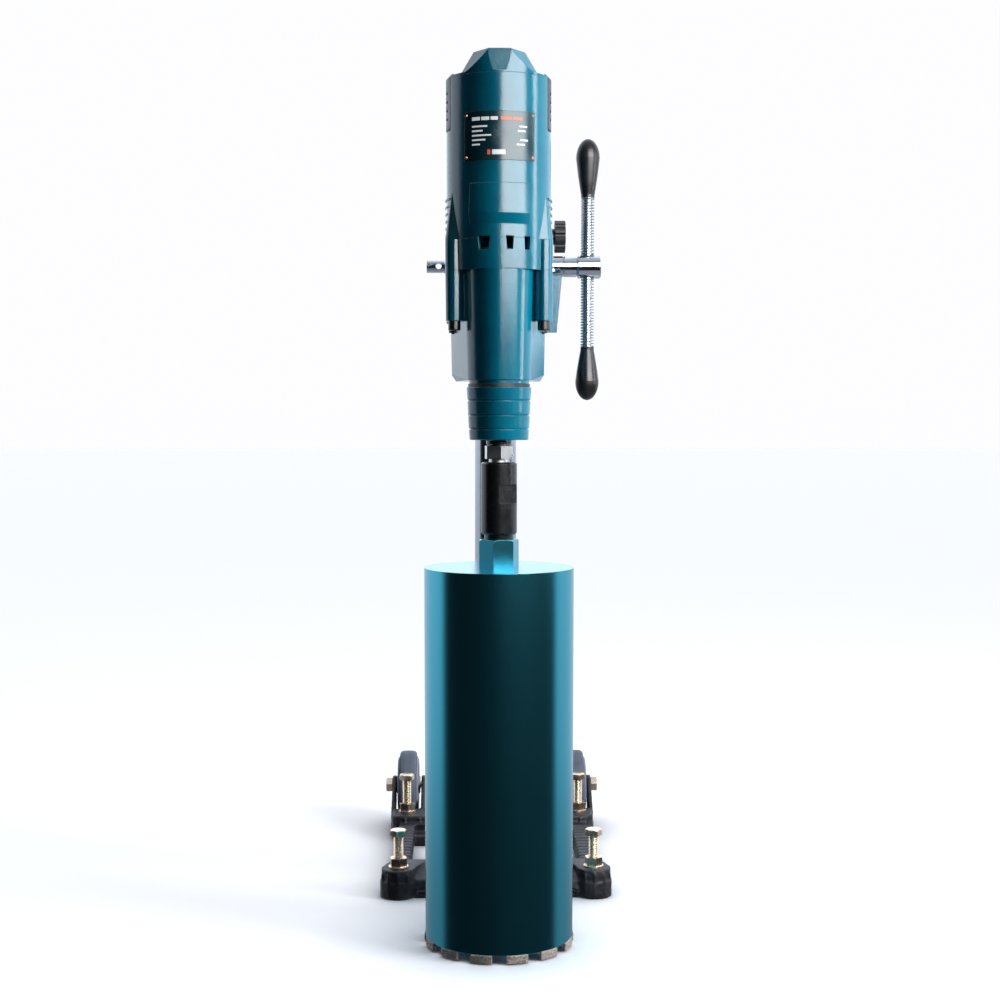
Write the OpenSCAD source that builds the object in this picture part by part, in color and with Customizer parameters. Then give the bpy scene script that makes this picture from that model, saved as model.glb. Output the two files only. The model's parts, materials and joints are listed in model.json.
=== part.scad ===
// Core drill rig: a motor and gearbox on a rack-and-pinion carriage, a column, a wheeled base
// with four levelling bolts, and a core bit.  The front of the rig faces -Y and +Z is up.
// The origin is on the floor, at the centre of the rig's outline.  Inside the modules,
// lengths along Y are counted backwards from the drill axis, and rig() moves them.

/* [Core bit] */
// Outside diameter of the core bit tube
bit_d = 162; // [120:1:164]
// Wall of the core bit tube
bit_wall = 2.6; // [2:0.1:4]
// Height of the plate that closes the tube, above the floor
bit_top = 415; // [380:1:420]
// Number of diamond segments
segment_count = 13; // [9:1:15]
// Length of one diamond segment along the rim
segment_len = 24; // [16:1:26]
// How far a segment stands proud of the tube wall
segment_proud = 1; // [0.4:0.1:1.5]
// Width across the flats of the bit's hexagon hub
hub_af = 38.3; // [36:0.1:42]

/* [Adapter and spindle] */
// Diameter of the black adapter
adapter_d = 39; // [34:0.2:42]
// Height of the adapter's body
adapter_h = 77.7; // [70:0.1:78]
// Diameter of the thread between the adapter and the hub
thread_d = 31.6; // [30:0.1:31.7]
// Diameter of the spindle in its bearings
spindle_d = 20; // [19:0.5:20]

/* [Motor and gearbox] */
// Radius of the motor housing
motor_r = 56; // [55:0.5:57]
// Distance from the spindle axis back to the motor axis
motor_y = 18; // [18:1:18]
// Height of the gearbox underside
gearbox_bottom = 616; // [614:1:617]
// Height of the seam between gearbox and vent ring
ring_bottom = 731.5; // [730:0.5:733]
// Height of the seam between vent ring and motor housing
ring_top = 763.4; // [762:0.2:764]
// Height of the motor's shoulder
shoulder_z = 934; // [932:1:936]
// Height of the crown of the top cap
crown_z = 956; // [952:1:964]

/* [Feed] */
// Distance from the drill axis back to the pinion axis
pinion_y = 155; // [155:1:155]
// Height of the pinion axis
pinion_z = 751; // [748:1:752]
// Module of the rack and its pinion
rack_module = 2; // [2:0.5:2]
// Teeth on the rack pinion
pinion_teeth = 15; // [15:1:15]
// Length of the T-handle rod, tip to tip over its grips
handle_len = 300; // [260:1:300]

/* [Column] */
// Outside diameter of the column tube
column_d = 50; // [50:1:50]
// Height of the top of the column tube
column_top = 935; // [860:5:940]

/* [Base] */
// Distance between the levelling bolts from left to right
jack_span_x = 236; // [230:1:240]
// Distance from the drill axis back to the front levelling bolts
jack_front_y = 172; // [170:1:175]
// Distance from the drill axis back to the rear levelling bolts
jack_rear_y = 451; // [448:1:451]
// Height of the levelling bolts' bosses
boss_h = 35; // [32:1:36]
// Diameter of the wheels
wheel_d = 96; // [90:1:96]
// Distance from the drill axis back to the wheel axles
wheel_y = 518; // [516:1:525]

/* [Hidden] */
$fn = 96;
slip = 0.05;
eps = 0.01;
cover_angle = 23.5;

bit_r = bit_d / 2;
segment_gap = 1.5;
segment_h = 9;
tube_bottom = segment_gap + segment_h;
plate_t = 6;
segment_r = bit_r + segment_proud;
segment_phase = 12.8;

adapter_z = 450.9;
adapter_top = adapter_z + adapter_h;
hub_top = 445.4;
spindle_r = spindle_d / 2;
spindle_nose_z = 501;
hex_z = 532;
ring_z = 547.5;
nose_z = 552.4;
nose_top = 608.4;
water_z = 578;
rim_z = 612;

lobe_low_r = 35;
lobe_r = 38;
corner_r = 8;
corner_x = 45;
corner_y = 55;
boss_x = 47.6;
boss_dy = 26;
boss_r = 9.6;
boss_z = 678.5;
screw_r = 6.6;

gear_b_z = 640;
gear_b_h = 18;
gear_a_z = 664;
gear_a_h = 12;
spindle_teeth = 38;
idler_pinion_teeth = 12;
idler_gear_teeth = 40;
armature_teeth = 12;
module_b = 1.5;
module_a = 0.75;
idler_y = module_b * (spindle_teeth + idler_pinion_teeth) / 2;
bearing_z = 684;
bearing_h = 8;
plate_z = 682;
plate_h = 12;
shaft_top = 905;

pitch_r = rack_module * pinion_teeth / 2;
rack_y = pinion_y + pitch_r;
rack_back = 184;
rack_z0 = 98;
column_r = column_d / 2;
column_y = 207.5;
bush_r = 29;
sleeve_z = 645;
sleeve_h = 155;
shaft_r = 8.5;
stub_r = 7.3;
hub_x = 64;
handle_x = 106;
handle_r = 5;
handle_mid = 746.8;
upper_grip = 66.8;
lower_grip = 61;
hub_r = 13.5;
lock_y = 172;
gland_y = 90;
gland_z = 832;
lock_z = 787.2;

jack_x = jack_span_x / 2;
jack_r = 6;
boss_rr = 21;
parting_z = 20;
wheel_r = wheel_d / 2;
wheel_x = 118;
mount_x = 41;
wheel_z = 57;
axle_r = 6;

setback = (wheel_y + wheel_r - segment_r) / 2;

teal = [0.02, 0.42, 0.55];
deep_teal = [0.05, 0.30, 0.38];
casting_black = [0.10, 0.10, 0.11];
plastic_black = [0.06, 0.06, 0.07];
steel = [0.62, 0.64, 0.66];
chrome = [0.82, 0.84, 0.86];
yellow_zinc = [0.82, 0.68, 0.38];
copper = [0.72, 0.42, 0.22];
rubber_grey = [0.42, 0.46, 0.52];
oiled_black = [0.16, 0.16, 0.18];

// ---------- helpers ----------

// Moves a piece from the drill axis to its place in the rig.
module rig() {
  translate([0, -setback, 0]) children();
}

// Moves a piece to the motor axis.
module on_motor() {
  translate([0, motor_y, 0]) children();
}

// Lays a piece that is drawn along +Z down along +X.
module along_x() {
  rotate([90, 0, 90]) children();
}

// Lays a piece that is drawn along +Z down along +Y.
module along_y() {
  rotate([-90, 0, 0]) children();
}

// A plain washer or bush, standing on z = 0.
module ring(outer, inner, height) {
  difference() {
    cylinder(r = outer, h = height);
    translate([0, 0, -1]) cylinder(r = inner, h = height + 2);
  }
}

// A hexagon prism with its corners chamfered at the top, width given across its flats.
module hex_head(af, height) {
  corner = af / sqrt(3);
  intersection() {
    rotate(30) cylinder(r = corner, h = height, $fn = 6);
    cylinder(r1 = corner + height, r2 = af / 2 + 0.25, h = height + 0.4);
  }
}

// Part of a turned shape about the motor axis, from one angle to another, counted from the
// front towards +X.
module sector(from, to) {
  rotate(from - 90) rotate_extrude(angle = to - from) children();
}

// Copies a piece at each of the four long screws that hold gearbox, ring and motor together.
module at_screws() {
  for (side = [-1, 1], end = [-1, 1])
    translate([side * boss_x, motor_y + end * boss_dy, 0]) children();
}

// Copies a piece to each levelling bolt.
module at_jacks() {
  for (side = [-1, 1], y = [jack_front_y, jack_rear_y]) translate([side * jack_x, y, 0]) children();
}

function involute(angle) = tan(angle) * 180 / PI - angle;

// One side of a gear tooth: radius and half thickness angle, from root to tip.
function flank(module_mm, teeth, pressure, steps = 6) =
  let (
    pitch = module_mm * teeth / 2,
    base = pitch * cos(pressure),
    tip = pitch + 0.8 * module_mm,
    root = pitch - module_mm,
    start = max(base, root),
    half = 90 / teeth - 0.03 * 180 / PI / pitch + involute(pressure)
  )
  concat(
    [[root, half - involute(acos(base / start))]],
    [for (i = [0 : steps]) let (r = start + (tip - start) * i / steps)
      [r, half - involute(acos(base / r))]]
  );

function polar(r, angle) = [r * cos(angle), r * sin(angle)];

// Outline of an involute gear with its first tooth pointing along +X.
module gear_outline(module_mm, teeth, pressure = 25) {
  side = flank(module_mm, teeth, pressure);
  last = len(side) - 1;
  polygon([
    for (tooth = [0 : teeth - 1])
      for (i = [0 : 2 * last + 1])
        let (p = i <= last ? side[i] : side[2 * last + 1 - i], s = i <= last ? -1 : 1)
          polar(p[0], tooth * 360 / teeth + s * p[1])
  ]);
}

// ---------- stand ----------

module jack_boss() {
  ridge = 1.6;
  difference() {
    union() {
      cylinder(r = boss_rr + 1.2, h = parting_z);
      translate([0, 0, parting_z]) cylinder(r1 = boss_rr, r2 = boss_rr - 0.6, h = boss_h - parting_z);
      for (angle = [208, 238, 270, 302, 332]) rotate(angle) translate([boss_rr - 1.8, -ridge / 2, 4.3])
        cube([3.7, ridge, boss_h - 8.9]);
    }
    translate([0, 0, -1]) cylinder(r = jack_r + slip, h = boss_h + 2);
  }
}

// The front arm on one side: from the bolt boss back and inwards to the cross web.
module front_arm_plan() {
  polygon([
    [106, 155], [84, 202], [56, 204], [56, 240], [78, 240], [80, 208], [107, 208], [128, 206], [138, 176]
  ]);
}

// The low front member that slopes up from the floor bar to the column plate.
module front_member() {
  translate([56, 0, 0]) rotate([90, 0, 90]) linear_extrude(50)
    polygon([[158, 9.5], [160, 22], [200, boss_h], [208, boss_h], [208, 9.5]]);
  translate([57, 159, 0]) cube([50, 14, 5]);
  translate([96, 158, 4]) cube([6, 10, 8]);
}

// Plan of the block around a rear levelling bolt, with chamfered corners.
module rear_block_plan(inset) {
  low_x = 74.5 + inset;
  high_x = 137.5 - inset;
  low_y = 421.5 + inset;
  high_y = 468.5 - inset;
  cut = 6;
  polygon([
    [low_x + cut, low_y], [high_x - cut, low_y], [high_x, low_y + cut], [high_x, high_y - cut],
    [high_x - cut, high_y], [low_x + cut, high_y], [low_x, high_y - cut], [low_x, low_y + cut]
  ]);
}

module rear_block() {
  linear_extrude(parting_z) rear_block_plan(0);
  translate([0, 0, parting_z - 1]) linear_extrude(boss_h - parting_z + 0.5) rear_block_plan(0.9);
  for (x = [100, 120]) translate([x - 1, 420.3, 3]) cube([2, 4, boss_h - 6.7]);
}

module wheel_ear(x) {
  ear_t = 5.5;
  ear_top_r = 13;
  translate([x, 0, 0]) along_x() difference() {
    hull() {
      translate([wheel_y, wheel_z]) cylinder(r = ear_top_r, h = ear_t, $fn = 32);
      translate([462, 2, 0]) cube([28, 30, ear_t]);
    }
    translate([wheel_y, wheel_z, -1]) cylinder(r = axle_r + eps, h = ear_t + 2);
  }
}

module base_half() {
  rail_x = 107;
  rail_w = 20;
  rail_h = 25;
  web_z = 9.5;
  translate([0, 0, web_z]) linear_extrude(boss_h - web_z) front_arm_plan();
  front_member();
  translate([rail_x, jack_front_y + 10, 0]) cube([rail_w, jack_rear_y - jack_front_y - 20, rail_h]);
  for (i = [0 : 13])
    translate([rail_x - 1.2, 214 + 14 * i, 4]) cube([rail_w + 2.4, 5, rail_h - 2.5]);
  translate([0, 396, 0]) cube([rail_x + rail_w, 70, 14]);
  translate([0, 414, 0]) cube([rail_x, 34, 26]);
  rear_block();
  wheel_ear(94);
  wheel_ear(135);
}

module base_casting() {
  color(casting_black) rig() difference() {
    union() {
      base_half();
      mirror([1, 0, 0]) base_half();
      translate([-58, 158, 12]) cube([116, 150, boss_h - 12]);
      at_jacks() jack_boss();
    }
    at_jacks() translate([0, 0, -1]) cylinder(r = jack_r + slip, h = boss_h + 2);
    translate([0, 284, 0]) cylinder(r = 8, h = boss_h + 1);
    for (side = [-1, 1]) translate([side * wheel_x, wheel_y, wheel_z])
      rotate([0, 90, 0]) translate([0, 0, -17]) cylinder(r = wheel_r + 2.5, h = 34);
    for (x = [-38, 38], y = [-38, 38]) translate([x, column_y + y, 11]) cylinder(r = 5, h = boss_h);
  }
}

module column_tube() {
  color(chrome) rig() difference() {
    translate([0, column_y, boss_h + 1]) ring(column_r, column_r - 4, column_top - boss_h - 1);
    translate([-8, column_y - column_r - 1, rack_z0 - 1]) cube([16, rack_back - column_y + column_r + 1, 900]);
  }
}

module column_foot() {
  flange = 100;
  color(casting_black) rig() translate([0, column_y, boss_h]) difference() {
    union() {
      translate([-flange / 2, -flange / 2, 0]) cube([flange, flange, 12]);
      cylinder(r = 35, h = 58);
      for (angle = [45 : 90 : 315]) rotate(angle) translate([0, -4, 0])
        rotate([90, 0, 0]) translate([0, 0, -8]) linear_extrude(8) polygon([[30, 0], [46, 0], [46, 12], [30, 50]]);
    }
    translate([0, 0, 1]) cylinder(r = column_r + eps, h = 60);
    for (x = [-38, 38], y = [-38, 38]) translate([x, y, -1]) cylinder(r = 5.2, h = 14);
  }
}

module foot_bolts() {
  color(yellow_zinc) rig() for (x = [-38, 38], y = [-38, 38])
    translate([x, column_y + y, boss_h + 12]) {
      hex_head(16, 7);
      translate([0, 0, -30]) cylinder(r = 4.9, h = 30);
    }
}

// The rack: its pitch line is at rack_y, and a gap faces the pinion at pinion_z.
module column_rack() {
  pitch = PI * rack_module;
  top = 0.8 * rack_module;
  bottom = 1.15 * rack_module;
  play = 0.06;
  lean = tan(20);
  first = -floor((pinion_z - rack_z0 - 8) / pitch);
  last = floor((column_top - 14 - pinion_z) / pitch);
  teeth = [for (i = [first : last - 1]) let (z = (i + 0.5) * pitch)
    each [
      [bottom, z - pitch / 4 - lean * bottom + play], [-top, z - pitch / 4 + lean * top + play],
      [-top, z + pitch / 4 - lean * top - play], [bottom, z + pitch / 4 + lean * bottom - play]
    ]];
  low = rack_z0 - pinion_z;
  high = column_top - 6 - pinion_z;
  back = rack_back - rack_y;
  color(steel) rig() translate([-7.5, rack_y, pinion_z]) rotate([90, 0, 90]) linear_extrude(15)
    polygon(concat([[back, low], [bottom, low]], teeth, [[bottom, high], [back, high]]));
}

module column_cap() {
  color(plastic_black) rig() translate([0, column_y, column_top]) {
    cylinder(r1 = column_r + 2, r2 = column_r, h = 6);
    translate([0, 0, -14]) difference() {
      cylinder(r = column_r - 4.1, h = 14);
      translate([-9, -column_r - 1, -1]) cube([18, 10, 16]);
    }
  }
}

module jack_nuts() {
  washer_h = 2;
  color(yellow_zinc) rig() at_jacks() translate([0, 0, boss_h]) {
    ring(12, jack_r + slip, washer_h);
    translate([0, 0, washer_h]) difference() {
      rotate(10) hex_head(19, 10.2);
      translate([0, 0, -1]) cylinder(r = jack_r + slip, h = 14);
    }
  }
}

module jack_bolt(side, y, head_z, turn) {
  color(yellow_zinc) rig() translate([side * jack_x, y, head_z]) {
    rotate(turn) hex_head(18, 7.5);
    translate([0, 0, -70]) cylinder(r1 = jack_r - 1, r2 = jack_r, h = 1.5);
    translate([0, 0, -68.5]) cylinder(r = jack_r, h = 68.5);
  }
}

module jack_bolt_front_left() { jack_bolt(-1, jack_front_y, 74, 20); }
module jack_bolt_front_right() { jack_bolt(1, jack_front_y, 74, -6); }
module jack_bolt_rear_left() { jack_bolt(-1, jack_rear_y, 79.5, 14); }
module jack_bolt_rear_right() { jack_bolt(1, jack_rear_y, 79.5, 40); }

module axle_bolts() {
  color(yellow_zinc) rig() for (side = [0, 1]) mirror([side, 0, 0])
    translate([0, wheel_y, wheel_z]) {
      translate([92, 0, 0]) along_x() cylinder(r = axle_r, h = 49.5);
      translate([141, 0, 0]) along_x() rotate(15) hex_head(19, 8.4);
      translate([93.6, 0, 0]) mirror([1, 0, 0]) along_x() difference() {
        hex_head(19, 9);
        translate([0, 0, -1]) cylinder(r = axle_r, h = 12);
      }
    }
}

module tyre(side) {
  color(rubber_grey) rig() translate([side * wheel_x, wheel_y, wheel_z]) along_x()
    rotate_extrude() polygon([
      [34, -10], [41, -11.5], [wheel_r - 3, -11.5], [wheel_r - 0.8, -9.5], [wheel_r, -5],
      [wheel_r, 5], [wheel_r - 0.8, 9.5], [wheel_r - 3, 11.5], [41, 11.5], [34, 10]
    ]);
}

module wheel_hub(side) {
  bore = axle_r + slip;
  color(rubber_grey * 0.9) rig() translate([side * wheel_x, wheel_y, wheel_z]) along_x()
    rotate_extrude() polygon([
      [bore, -16.5], [12, -16.5], [13.5, -12], [20, -6], [29, -6], [32, -14.5], [37, -14.5],
      [40.8, -12], [33.9, -10], [33.9, 10], [40.8, 12], [37, 14.5], [32, 14.5], [29, 6], [20, 6],
      [13.5, 12], [12, 16.5], [bore, 16.5]
    ]);
}

module left_tyre() { tyre(-1); }
module left_wheel_hub() { wheel_hub(-1); }
module right_tyre() { tyre(1); }
module right_wheel_hub() { wheel_hub(1); }

// ---------- carriage ----------

// The wedge-shaped lug that stands out on the right, below the crank.
module stop_lug() {
  translate([0, 142, 0]) rotate([90, 0, 0]) linear_extrude(14)
    polygon([[46, 674], [69, 674], [75, 739], [46, 739]]);
}

module carriage_casting() {
  color(teal) rig() difference() {
    union() {
      translate([-48, 112, 640]) cube([96, 16, 150]);
      translate([-34, 127, 645]) cube([68, 56, 142]);
      translate([0, column_y, sleeve_z]) cylinder(r = 42, h = sleeve_h);
      translate([-58, pinion_y, pinion_z]) along_x() cylinder(r = 16, h = 120);
      translate([20, lock_y, lock_z]) along_x() cylinder(r = 12, h = 40);
      stop_lug();
    }
    translate([0, column_y, sleeve_z - 1]) cylinder(r = bush_r, h = sleeve_h + 2);
    translate([-9.5, 163, sleeve_z - 1]) cube([19, 24, sleeve_h + 2]);
    translate([-14, pinion_y, pinion_z]) along_x() cylinder(r = 19, h = 28);
    translate([-59, pinion_y, pinion_z]) along_x() cylinder(r = 10, h = 122);
    translate([9, lock_y, lock_z]) along_x() cylinder(r = 4.35, h = 52);
    translate([-22, 127, 644]) cube([44, 38, 64]);
    at_mount_bolts() cylinder(r = 4.4, h = 30);
  }
}

module column_bushes() {
  color([0.75, 0.70, 0.55]) rig() for (z = [sleeve_z, sleeve_z + sleeve_h - 30])
    translate([0, column_y, z]) difference() {
      ring(bush_r, column_r + slip, 30);
      translate([-9.5, -bush_r - 1, -1]) cube([19, 18, 32]);
    }
}

module pinion_bushes() {
  color([0.78, 0.58, 0.30]) rig() for (x = [-58, 14.5])
    translate([x, pinion_y, pinion_z]) along_x() ring(10, shaft_r + slip, x < 0 ? 43.5 : 47.5);
}

// Copies a piece to each of the four bolts that hold the drill on the carriage.
module at_mount_bolts() {
  for (x = [-mount_x, mount_x], z = [660, 776]) translate([x, 100, z]) along_y() children();
}

module motor_mount() {
  block_y = corner_y + corner_r + eps;
  color(teal) rig() difference() {
    union() {
      translate([-40, block_y, 640]) cube([80, 112 - block_y, 86]);
      translate([-48, 96, 640]) cube([96, 16, 150]);
    }
    on_motor() translate([0, 0, 700]) cylinder(r = 66, h = 100);
    at_mount_bolts() translate([0, 0, -1]) cylinder(r = 4, h = 20);
    at_screws() translate([0, 0, 639]) cylinder(r = boss_r + 1, h = 100);
  }
}

module mount_bolts() {
  color(yellow_zinc) rig() at_mount_bolts() {
    cylinder(r = 4, h = 28);
    translate([0, 0, 28]) hex_head(11.5, 5.5);
  }
}

module motor_housing() {
  color(teal) rig() difference() {
    union() {
      on_motor() translate([0, 0, ring_top]) cylinder(r = motor_r, h = 932 - ring_top);
      for (side = [-1, 1], end = [-1, 1]) hull() {
        translate([side * boss_x, motor_y + end * boss_dy, ring_top]) cylinder(r = boss_r, h = 1, $fn = 32);
        translate([side * 48.5, motor_y + end * 24, 818]) cylinder(r = 1.2, h = 1, $fn = 16);
        translate([side * 41, motor_y + end * 35, ring_top]) cylinder(r = 2.5, h = 1, $fn = 16);
      }
      // Scooped panel that stands out further towards its sill above the front vents.
      on_motor() sector(-33.5, 33.5) polygon([
        [motor_r - 2, 776.5], [motor_r, 777.5], [motor_r + 2.5, 788.5], [motor_r + 2.5, 791],
        [motor_r + 0.6, 819.5], [motor_r - 2, 820.7]
      ]);
      for (side = [-1, 1], i = [0 : 5]) on_motor() sector(side * 90 - 24, side * 90 + 24)
        translate([motor_r - 2, 768 + 7.4 * i]) polygon([[0, 0], [3.6, 1.2], [3.6, 2.8], [0, 3.6]]);
    }
    vent(-17, 13, 10.2);
    vent(11.1, 8.2, 6.4);
    vent(31.5, 7.4, 6);
    on_motor() translate([0, 0, ring_top - 1]) cylinder(r = motor_r - 5, h = 200);
    on_motor() for (side = [-1, 1]) sector(side * 90 - cover_angle - 0.4, side * 90 + cover_angle + 0.4)
      translate([motor_r - 1.6, 877.8]) square([4, 60]);
    on_motor() for (side = [0, 1]) mirror([side, 0, 0]) translate([40, 0, 882]) along_x() cylinder(r = 8.1, h = 20);
    at_screws() translate([0, 0, ring_top - 1]) cylinder(r = 3, h = 14);
    translate([0, 60, 850]) along_y() cylinder(r = 8, h = 20);
  }
}

module crown() {
  top = [
    [-11.4, -36.5], [11.4, -36.5], [26.9, -16], [26.9, 52], [11.4, 72.5], [-11.4, 72.5], [-26.9, 52], [-26.9, -16]
  ];
  foot = [
    [-26.6, -37.5], [26.6, -37.5], [39.5, -20], [39.5, 56], [26.6, 73.5], [-26.6, 73.5], [-39.5, 56], [-39.5, -20]
  ];
  intersection() {
    on_motor() translate([0, 0, shoulder_z - 1]) cylinder(r = motor_r, h = 40);
    hull() {
      translate([0, 0, shoulder_z - 0.5]) linear_extrude(0.5) polygon(foot);
      translate([0, 0, crown_z - 0.2]) linear_extrude(0.2) polygon(top);
    }
  }
}

module top_cap() {
  color(teal) rig() difference() {
    union() {
      crown();
      on_motor() translate([0, 0, 932]) cylinder(r = motor_r, h = shoulder_z - 932);
      on_motor() translate([0, 0, 893]) ring(17, 13, 40);
      on_motor() translate([0, 0, 918]) cylinder(r = motor_r - 5.05, h = 15);
    }
    on_motor() translate([0, 0, 880]) cylinder(r = 13, h = 38);
    on_motor() translate([0, 0, 900]) ring(motor_r - 9, 17.01, 28);
    on_motor() for (side = [-1, 1]) sector(side * 90 - cover_angle - 0.4, side * 90 + cover_angle + 0.4)
      translate([motor_r - 4.1, 931.9]) square([12, 10]);
  }
}

module side_covers() {
  color(plastic_black) rig() on_motor() for (side = [-1, 1]) difference() {
    sector(side * 90 - cover_angle, side * 90 + cover_angle) polygon([
      [motor_r - 1.55, 878.8], [motor_r - 0.6, 878.8], [motor_r + 0.2, 880.5], [motor_r + 0.2, 933],
      [motor_r - 3, 936.6], [motor_r - 4, 936.6], [motor_r - 4, 932.05], [motor_r - 1.55, 932.05]
    ]);
    for (i = [0 : 3]) translate([side * motor_r, 0, 889 + 9 * i]) translate([-6, -15, 0]) cube([12, 30, 3]);
  }
}

module nameplate() {
  color(deep_teal) rig() on_motor() translate([0, 0, 842.4]) sector(-40.3, 40.3)
    translate([motor_r, 0]) square([0.7, 50]);
}

module nameplate_rivets() {
  color(copper) rig() on_motor() for (angle = [-37.5, 37.5], z = [845.9, 888.9])
    rotate(angle) translate([0, -motor_r - 0.7, z]) rotate([90, 0, 0]) cylinder(r1 = 1.5, r2 = 1, h = 0.9);
}

// A tapered vent opening across the ring's upper seam, at an angle from the front.
module vent(angle, top_w, bottom_w) {
  bottom_z = 751.3;
  height = 13.7;
  on_motor() rotate(angle) translate([0, -motor_r + 10, bottom_z]) rotate([90, 0, 0])
    linear_extrude(20) polygon([
      [-bottom_w / 2, 0], [bottom_w / 2, 0], [top_w / 2, height], [-top_w / 2, height]
    ]);
}

module vent_ring() {
  height = ring_top - ring_bottom;
  color(teal) rig() difference() {
    union() {
      on_motor() translate([0, 0, ring_bottom]) cylinder(r1 = motor_r - 0.6, r2 = motor_r + 0.2, h = height);
      at_screws() translate([0, 0, ring_bottom]) cylinder(r = boss_r, h = height);
    }
    on_motor() translate([0, 0, ring_bottom + 4]) cylinder(r = motor_r - 6, h = height);
    on_motor() translate([0, 0, ring_bottom - 1]) cylinder(r = 13, h = 10);
    vent(-17, 13, 10.2);
    vent(11.1, 8.2, 6.4);
    vent(31.5, 7.4, 6);
    for (angle = [82, 98, 150, 165, 180, 195, 210, 262, 278]) vent(angle, 9, 7);
    at_screws() translate([0, 0, ring_bottom - 1]) cylinder(r = 3.2, h = height + 2);
  }
}

// Outline of the gearbox in plan: a lobe around the spindle with flat flanks to two rear corners.
module gearbox_plan(wall, lobe, narrow = 0) {
  hull() {
    circle(r = lobe - wall);
    for (side = [-1, 1]) translate([side * (corner_x - narrow), corner_y]) circle(r = corner_r - wall);
  }
}

// The housing's outer shape: a drafted body over a chamfered underside.
module gearbox_body() {
  chamfer_w = 4.5;
  chamfer_h = 7;
  hull() {
    translate([0, 0, gearbox_bottom]) linear_extrude(eps) gearbox_plan(0, lobe_low_r, chamfer_w + 2);
    translate([0, 0, gearbox_bottom + chamfer_h]) linear_extrude(eps) gearbox_plan(0, lobe_low_r, 2);
    translate([0, 0, ring_bottom - eps]) linear_extrude(eps) gearbox_plan(0, lobe_r);
  }
}

// The web that ties a front screw boss to the body.
module boss_web(side) {
  hull() {
    translate([side * boss_x, motor_y - boss_dy, boss_z]) cylinder(r = boss_r - 3, h = ring_bottom - boss_z);
    translate([side * 30, 6, boss_z]) cylinder(r = 4, h = ring_bottom - boss_z);
  }
}

module gearbox_housing() {
  inner_z = 634;
  hole_r = 3.2;
  color(teal) rig() difference() {
    union() {
      gearbox_body();
      at_screws() translate([0, 0, boss_z]) cylinder(r1 = boss_r - 0.5, r2 = boss_r, h = ring_bottom - boss_z);
      for (side = [-1, 1]) boss_web(side);
      translate([0, 0, rim_z]) cylinder(r = 32.3, h = gearbox_bottom - rim_z + 1);
    }
    difference() {
      translate([0, 0, inner_z]) linear_extrude(150) gearbox_plan(4, lobe_low_r, 2);
      at_screws() translate([0, 0, boss_z - 12]) cylinder(r = boss_r, h = 100);
    }
    translate([0, 0, rim_z - 1]) cylinder(r = 24.1, h = 7);
    translate([0, 0, 618]) cylinder(r = 21, h = 30);
    translate([0, idler_y, 624]) cylinder(r = 8, h = 20);
    at_screws() translate([0, 0, boss_z - 1]) cylinder(r = hole_r, h = 100);
    at_screws() translate([0, 0, boss_z - 11]) cylinder(r = screw_r + 0.4, h = 11);
  }
}

module gearbox_screws() {
  color(plastic_black) rig() at_screws() difference() {
    union() {
      translate([0, 0, boss_z - 10]) cylinder(r1 = screw_r - 0.6, r2 = screw_r, h = 1);
      translate([0, 0, boss_z - 9]) cylinder(r = screw_r, h = 9);
      translate([0, 0, boss_z]) cylinder(r = 2.95, h = 92);
    }
    translate([0, 0, boss_z - 11]) rotate(15) cylinder(r = 3.4, h = 6, $fn = 6);
  }
}

module bearing_plate() {
  color(steel) rig() difference() {
    translate([0, 0, plate_z]) linear_extrude(plate_h) gearbox_plan(4.1, lobe_low_r, 2);
    at_screws() translate([0, 0, plate_z - 1]) cylinder(r = boss_r + 0.1, h = 40);
    translate([0, 0, bearing_z]) cylinder(r = 9, h = 40);
    translate([0, motor_y, bearing_z]) cylinder(r = 7.5, h = 40);
    translate([0, idler_y, bearing_z]) cylinder(r = 8, h = 40);
    translate([0, 0, plate_z - 1]) cylinder(r = 5.5, h = 40);
    translate([0, motor_y, plate_z - 1]) cylinder(r = 6, h = 40);
    translate([0, idler_y, plate_z - 1]) cylinder(r = 4.6, h = 40);
  }
}

module ball_bearings() {
  color(chrome) rig() {
    translate([0, 0, 620]) ring(21, spindle_r + slip, 12);
    translate([0, 0, bearing_z]) ring(9, 5 + slip, bearing_h);
    translate([0, idler_y, 625]) ring(8, 4 + slip, 6);
    translate([0, idler_y, bearing_z]) ring(8, 4 + slip, bearing_h);
    translate([0, motor_y, bearing_z]) ring(7.5, 4 + slip, bearing_h);
    translate([0, motor_y, 894]) ring(13, 6 + slip, 10);
  }
}

module nose_collar() {
  groove = 1.3;
  low_r = 31.85;
  high_r = 34.9;
  chamber_z = water_z - 10;
  chamber_top = water_z + 12;
  color(teal) rig() difference() {
    rotate_extrude() polygon([
      [spindle_r + 0.5, nose_z], [low_r - 1, nose_z], [low_r, nose_z + 1],
      [32.5, 563], [32.5 - groove, 564.2], [32.6, 565.4],
      [33.3, 577.7], [33.3 - groove, 578.9], [33.4, 580.1],
      [34, 593.4], [34 - groove, 594.6], [34.1, 595.8],
      [high_r, nose_top - 0.6], [high_r - 0.6, nose_top], [30, nose_top], [30, rim_z],
      [24, rim_z], [24, 617.5],
      [15, 617.5], [15, chamber_top + 6], [spindle_r + 0.5, chamber_top + 6],
      [spindle_r + 0.5, chamber_top], [16, chamber_top], [16, chamber_z], [spindle_r + 0.5, chamber_z]
    ]);
    translate([0, 12, water_z]) along_y() cylinder(r = 5, h = 30);
  }
}

module nose_seal() {
  color(plastic_black) rig() translate([0, 0, nose_top]) ring(33.2, 30.01, rim_z - nose_top);
}

module field_core() {
  color(steel) rig() on_motor() {
    translate([0, 0, 786]) ring(motor_r - 5, 27, 64);
    color(copper) translate([0, 0, 774]) ring(44, 30, 11.9);
    color(copper) translate([0, 0, 850.1]) ring(44, 30, 12);
  }
}

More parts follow.
